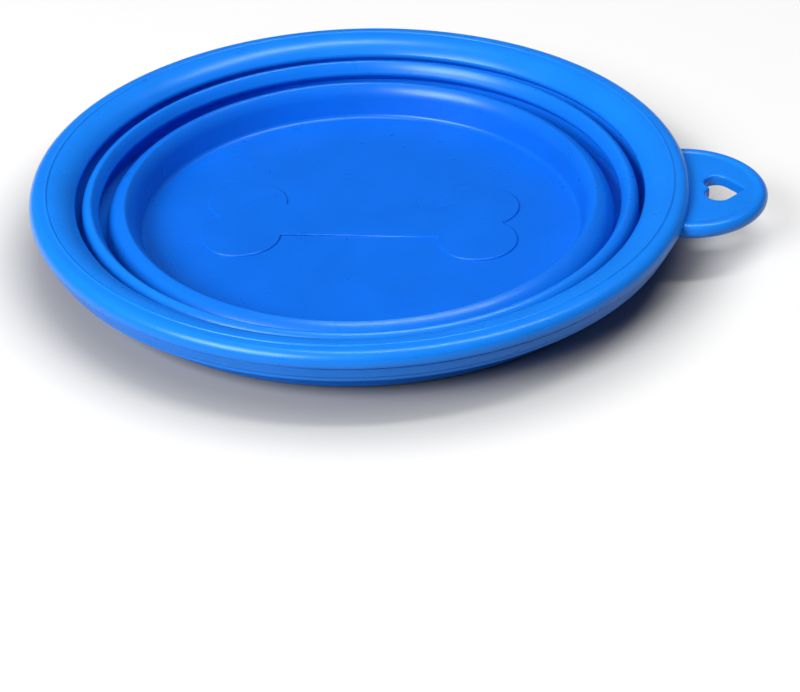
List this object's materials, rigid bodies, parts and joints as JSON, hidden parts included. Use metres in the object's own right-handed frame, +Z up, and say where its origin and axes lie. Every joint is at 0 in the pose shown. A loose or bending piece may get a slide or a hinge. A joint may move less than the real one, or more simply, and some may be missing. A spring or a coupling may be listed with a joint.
{
  "type": "collapsible silicone bowl",
  "caption": "Round collapsible silicone bowl shown folded flat, with nested tiers that pull up into a deep bowl and a hang tab with a heart-shaped hole.",
  "frame": {"origin": "on the bowl's axis, at the underside of the base, where it stands on a table", "axes": "+Z up along the bowl's axis, +X out through the middle of the hang tab"},
  "size_m": [0.1452, 0.13, 0.0135],
  "materials": {
    "silicone": "satin moulded silicone, bright blue"
  },
  "bodies": {
    "base": {"floor_panel": "silicone", "floor_emblem": "silicone", "base_wall": "silicone", "inner_crest": "silicone"},
    "middle": {"inner_web": "silicone", "inner_valley": "silicone", "middle_wall": "silicone", "outer_crest": "silicone"},
    "rim": {"outer_web": "silicone", "outer_valley": "silicone", "rim_wall": "silicone", "rim_band": "silicone", "rim_lip": "silicone", "parting_ridge": "silicone", "tab_neck": "silicone"},
    "tab": {"tab_plate": "silicone", "tab_border": "silicone"}
  },
  "joints": [
    {"name": "inner_fold", "type": "slide", "parent": "base", "child": "middle", "axis": [0, 0, 1], "range_m": [0, 0.0164], "deforming": ["inner_web"]},
    {"name": "outer_fold", "type": "slide", "parent": "middle", "child": "rim", "axis": [0, 0, 1], "range_m": [0, 0.02], "deforming": ["outer_web"]},
    {"name": "tab_flex", "type": "hinge", "parent": "rim", "child": "tab", "pos_m": [0.06585, 0, 0.00955], "axis": [0, -1, 0], "range_deg": [-40, 40], "stiffness_Nm_per_rad": 0.012, "deforming": ["tab_neck"]}
  ]
}
